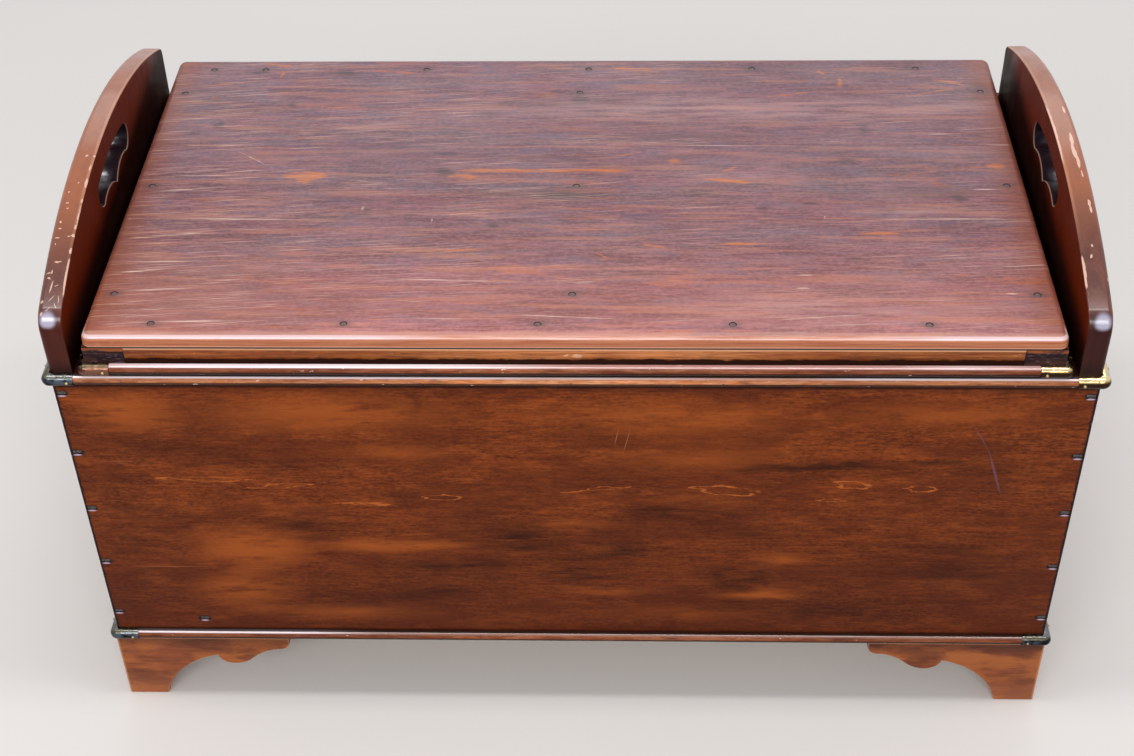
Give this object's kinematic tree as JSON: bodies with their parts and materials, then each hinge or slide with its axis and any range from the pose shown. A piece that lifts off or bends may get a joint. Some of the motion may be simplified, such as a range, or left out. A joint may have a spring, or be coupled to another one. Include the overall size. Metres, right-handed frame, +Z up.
{
  "type": "blanket chest",
  "caption": "Wooden blanket chest with arched end boards pierced by hand-holds, a hinged lid, half-round beads with brass corner caps, and ogee bracket feet.",
  "frame": {"origin": "on the floor, under the middle of the case", "axes": "+Z up; the front faces -Y; +X runs along the length to the right as seen from the front"},
  "size_m": [0.9072, 0.4672, 0.525],
  "materials": {
    "lid_wood": "worn satin varnish",
    "front_wood": "worn gloss varnish",
    "end_wood": "worn gloss varnish",
    "frame_wood": "worn gloss varnish",
    "bead_wood": "worn gloss varnish",
    "foot_wood": "worn satin varnish",
    "inner_wood": "bare softwood, darkened with age",
    "cap_brass": "aged, worn bright on the edges",
    "pin_brass": "aged",
    "nail_iron": "dark, slightly rusted",
    "hinge_iron": "dark iron"
  },
  "bodies": {
    "chest": {"back_board": "inner_wood", "back_nails": "nail_iron", "base_bead_front": "bead_wood", "base_bead_left": "bead_wood", "base_bead_right": "bead_wood", "base_cap_front_left": "cap_brass", "base_cap_front_right": "cap_brass", "case_brads": "nail_iron", "case_cap_pins": "pin_brass", "floor_board_back": "inner_wood", "floor_board_front": "inner_wood", "floor_cleats_end": "inner_wood", "floor_cleats_long": "inner_wood", "floor_nails": "nail_iron", "foot_back_left_brace": "foot_wood", "foot_back_left_side": "foot_wood", "foot_back_right_brace": "foot_wood", "foot_back_right_side": "foot_wood", "foot_blocks": "inner_wood", "foot_front_left_face": "foot_wood", "foot_front_left_side": "foot_wood", "foot_front_right_face": "foot_wood", "foot_front_right_side": "foot_wood", "front_board": "front_wood", "front_nails": "nail_iron", "hinge_case_screws": "hinge_iron", "hinge_left_case_leaf": "hinge_iron", "hinge_left_pin": "hinge_iron", "hinge_right_case_leaf": "hinge_iron", "hinge_right_pin": "hinge_iron", "left_end_board": "end_wood", "right_end_board": "end_wood", "rim_bead_front": "bead_wood", "rim_bead_left": "bead_wood", "rim_bead_right": "bead_wood", "rim_cap_front_left": "cap_brass", "rim_cap_front_right": "cap_brass"},
    "lid": {"hinge_left_lid_leaf": "hinge_iron", "hinge_lid_screws": "hinge_iron", "hinge_right_lid_leaf": "hinge_iron", "lid_batten_centre": "frame_wood", "lid_batten_left": "frame_wood", "lid_batten_right": "frame_wood", "lid_bead_back": "bead_wood", "lid_bead_front": "bead_wood", "lid_bead_left": "bead_wood", "lid_bead_right": "bead_wood", "lid_board_back": "lid_wood", "lid_board_front": "lid_wood", "lid_board_middle": "lid_wood", "lid_brads": "nail_iron", "lid_cap_back_left": "cap_brass", "lid_cap_back_right": "cap_brass", "lid_cap_front_left": "cap_brass", "lid_cap_front_right": "cap_brass", "lid_cap_pins": "pin_brass", "lid_nails": "nail_iron", "lid_rail_back": "frame_wood", "lid_rail_front": "frame_wood"}
  },
  "joints": [
    {"name": "lid_hinge", "type": "hinge", "parent": "chest", "child": "lid", "pos_m": [0, 0.229, 0.416], "axis": [-1, 0, 0], "range_deg": [0, 100]}
  ]
}
